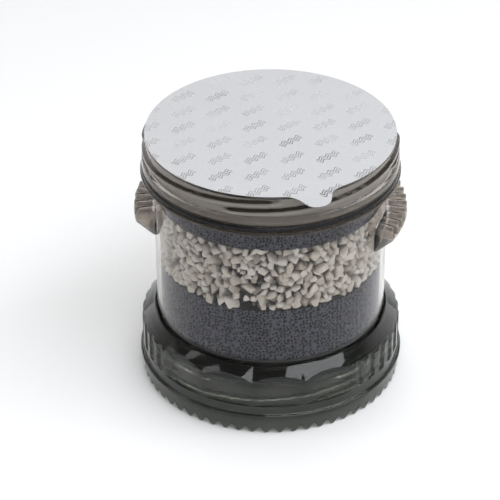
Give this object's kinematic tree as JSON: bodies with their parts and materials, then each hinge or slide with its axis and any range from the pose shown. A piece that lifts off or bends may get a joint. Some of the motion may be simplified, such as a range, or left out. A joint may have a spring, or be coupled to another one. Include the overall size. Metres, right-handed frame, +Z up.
{
  "type": "canister filter media module",
  "caption": "Round clear filter media module with a screw neck, O-ring, captive toothed screw collar, side grips and a peel-off top seal over foam and zeolite.",
  "frame": {"origin": "on the module's axis, in the plane of the collar's tooth tips that it stands on", "axes": "+Z up along the axis, out through the neck; +X out through one grip; -Y through the middle of the collar's front flats"},
  "size_m": [0.1392, 0.1372, 0.1387],
  "materials": {
    "seal_foil": "satin, with a repeated glossy grey print",
    "clear_smoke_plastic": "clear moulding with a light warm smoke tint",
    "smoke_plastic": "dark smoke tinted clear moulding",
    "o_ring_rubber": "glossy, greased",
    "strainer_plastic": "satin moulded",
    "charcoal_foam": "open-cell foam",
    "zeolite": "rough crushed mineral"
  },
  "bodies": {
    "container": {"container_body": "clear_smoke_plastic", "neck_o_ring": "o_ring_rubber", "top_strainer": "strainer_plastic", "upper_foam_pad": "charcoal_foam", "zeolite_bed": "zeolite", "lower_foam_pad": "charcoal_foam", "base_strainer": "strainer_plastic", "base_gasket": "o_ring_rubber"},
    "collar": {"collar_nut": "smoke_plastic"},
    "seal": {"peel_seal": "seal_foil"},
    "tab": {"seal_tab": "seal_foil"}
  },
  "joints": [
    {"name": "collar_spin", "type": "hinge", "parent": "container", "child": "collar", "pos_m": [0, 0, 0.03], "axis": [0, 0, 1], "continuous": true},
    {"name": "seal_lift", "type": "slide", "parent": "container", "child": "seal", "axis": [0, 0, 1], "range_m": [0, 0.06]},
    {"name": "tab_fold", "type": "hinge", "parent": "seal", "child": "tab", "pos_m": [0.02795, -0.05486, 0.13865], "axis": [-0.891, -0.454, 0], "range_deg": [0, 150]}
  ]
}
